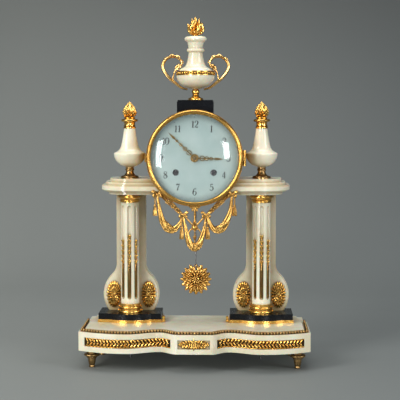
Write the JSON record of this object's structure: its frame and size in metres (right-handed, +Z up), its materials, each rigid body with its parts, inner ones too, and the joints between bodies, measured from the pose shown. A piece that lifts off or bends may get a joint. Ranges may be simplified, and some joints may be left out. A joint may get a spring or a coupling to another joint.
{
  "type": "mantel clock",
  "caption": "Portico mantel clock: marble columns and base with gilt mounts, drum movement with enamel dial, urn on top, and a rosette pendulum that swings between the columns.",
  "frame": {"origin": "on the table, under the middle of the clock's outline", "axes": "+Z up, front of the dial towards -Y, +X to the right as seen from the front"},
  "size_m": [0.362, 0.152, 0.554],
  "materials": {
    "white_marble": "polished",
    "black_marble": "polished",
    "gilt_bronze": "gilt, burnished and matt",
    "aged_bronze": "dark worn gilding",
    "enamel": "gloss",
    "dial_glass": "clear",
    "movement_brass": "polished",
    "steel": "polished",
    "bell_metal": "satin"
  },
  "bodies": {
    "case": {"base_block": "white_marble", "base_bead_moulding": "aged_bronze", "friezes": "gilt_bronze", "base_medallion": "gilt_bronze", "feet": "aged_bronze", "tie_rods": "steel", "plinth_edgings": "gilt_bronze", "plinths": "black_marble", "plinth_scrolls": "gilt_bronze", "back_panel_left": "white_marble", "back_panel_right": "white_marble", "panel_rosettes": "gilt_bronze", "column_bases": "gilt_bronze", "column_left": "white_marble", "column_right": "white_marble", "flute_husks": "gilt_bronze", "capitals": "gilt_bronze", "cap_left": "white_marble", "cap_right": "white_marble", "vase_feet": "gilt_bronze", "vase_left": "white_marble", "vase_right": "white_marble", "pinecones": "gilt_bronze", "drum_case": "gilt_bronze", "hinge_pins": "steel", "top_block": "black_marble", "urn_foot": "gilt_bronze", "urn_bowl": "white_marble", "urn_bead_ring": "gilt_bronze", "urn_lid": "white_marble", "urn_handles": "gilt_bronze", "flame_finial": "gilt_bronze", "garland": "gilt_bronze", "dial": "enamel", "front_plate": "movement_brass", "back_plate": "movement_brass", "suspension_cock": "movement_brass", "bell": "bell_metal", "bell_stand": "movement_brass"},
    "bezel": {"bezel": "gilt_bronze", "bezel_glass": "dial_glass"},
    "rear_door": {"rear_door": "gilt_bronze"},
    "minute_hand": {"minute_hand": "gilt_bronze", "cannon_pinion": "steel"},
    "hour_hand": {"hour_hand": "gilt_bronze", "hour_wheel": "movement_brass"},
    "minute_wheel": {"minute_wheel": "movement_brass"},
    "third_wheel": {"third_wheel": "movement_brass"},
    "centre_wheel": {"centre_wheel": "movement_brass"},
    "second_wheel": {"second_wheel": "movement_brass"},
    "going_barrel": {"going_barrel": "movement_brass"},
    "escape_wheel": {"escape_wheel": "movement_brass"},
    "anchor": {"anchor_and_crutch": "steel"},
    "pendulum": {"pendulum_rod": "steel", "pendulum_bob": "aged_bronze"},
    "going_winding_arbor": {"going_winding_arbor": "steel"},
    "strike_winding_arbor": {"strike_winding_arbor": "steel"},
    "strike_barrel": {"strike_barrel": "movement_brass"},
    "pin_wheel": {"pin_wheel": "movement_brass"},
    "hammer": {"hammer": "steel"}
  },
  "joints": [
    {"name": "bezel_swing", "type": "hinge", "parent": "case", "child": "bezel", "pos_m": [0.0786, -0.0301, 0.33], "axis": [0, 0, 1], "range_deg": [0, 110]},
    {"name": "rear_door_swing", "type": "hinge", "parent": "case", "child": "rear_door", "pos_m": [-0.0756, 0.0716, 0.33], "axis": [0, 0, 1], "range_deg": [0, 115]},
    {"name": "minute_hand_turn", "type": "hinge", "parent": "case", "child": "minute_hand", "pos_m": [0, 0, 0.33], "axis": [0, 1, 0], "continuous": true},
    {"name": "hour_hand_turn", "type": "hinge", "parent": "case", "child": "hour_hand", "pos_m": [0, 0, 0.33], "axis": [0, 1, 0], "continuous": true},
    {"name": "minute_wheel_turn", "type": "hinge", "parent": "case", "child": "minute_wheel", "pos_m": [0, 0, 0.342], "axis": [0, 1, 0], "continuous": true},
    {"name": "third_wheel_turn", "type": "hinge", "parent": "case", "child": "third_wheel", "pos_m": [0.01028, 0, 0.34716], "axis": [0, 1, 0], "continuous": true},
    {"name": "centre_wheel_turn", "type": "hinge", "parent": "case", "child": "centre_wheel", "pos_m": [0, 0, 0.33], "axis": [0, 1, 0], "continuous": true},
    {"name": "second_wheel_turn", "type": "hinge", "parent": "case", "child": "second_wheel", "pos_m": [0.02091, 0, 0.32804], "axis": [0, 1, 0], "continuous": true},
    {"name": "going_barrel_turn", "type": "hinge", "parent": "case", "child": "going_barrel", "pos_m": [0.0298, 0, 0.3071], "axis": [0, 1, 0], "continuous": true},
    {"name": "escape_wheel_turn", "type": "hinge", "parent": "case", "child": "escape_wheel", "pos_m": [0, 0, 0.36145], "axis": [0, 1, 0], "continuous": true},
    {"name": "going_winding_turn", "type": "hinge", "parent": "case", "child": "going_winding_arbor", "pos_m": [0.0298, 0, 0.3071], "axis": [0, 1, 0], "continuous": true},
    {"name": "strike_winding_turn", "type": "hinge", "parent": "case", "child": "strike_winding_arbor", "pos_m": [-0.0298, 0, 0.3071], "axis": [0, 1, 0], "continuous": true},
    {"name": "strike_barrel_turn", "type": "hinge", "parent": "case", "child": "strike_barrel", "pos_m": [-0.0298, 0, 0.3071], "axis": [0, 1, 0], "continuous": true},
    {"name": "pin_wheel_turn", "type": "hinge", "parent": "case", "child": "pin_wheel", "pos_m": [-0.026, 0, 0.32953], "axis": [0, 1, 0], "continuous": true},
    {"name": "pendulum_swing", "type": "hinge", "parent": "case", "child": "pendulum", "pos_m": [0, 0.03, 0.378], "axis": [0, 1, 0], "range_deg": [-3.5, 3.5]},
    {"name": "anchor_swing", "type": "hinge", "parent": "case", "child": "anchor", "pos_m": [0, 0, 0.378], "axis": [0, 1, 0], "range_deg": [-3.5, 3.5]},
    {"name": "hammer_swing", "type": "hinge", "parent": "case", "child": "hammer", "pos_m": [-0.0326, 0.04, 0.3549], "axis": [0, 1, 0], "range_deg": [0, 20]}
  ],
  "couplings": [
    {"joint": "hour_hand_turn", "follows": "minute_hand_turn", "ratio": 0.083333},
    {"joint": "minute_wheel_turn", "follows": "minute_hand_turn", "ratio": -0.33333},
    {"joint": "centre_wheel_turn", "follows": "third_wheel_turn", "ratio": -0.11111},
    {"joint": "second_wheel_turn", "follows": "third_wheel_turn", "ratio": 0.018519},
    {"joint": "going_barrel_turn", "follows": "third_wheel_turn", "ratio": -0.0030864},
    {"joint": "escape_wheel_turn", "follows": "third_wheel_turn", "ratio": -10},
    {"joint": "pin_wheel_turn", "follows": "strike_barrel_turn", "ratio": -6},
    {"joint": "anchor_swing", "follows": "pendulum_swing", "ratio": 1}
  ]
}
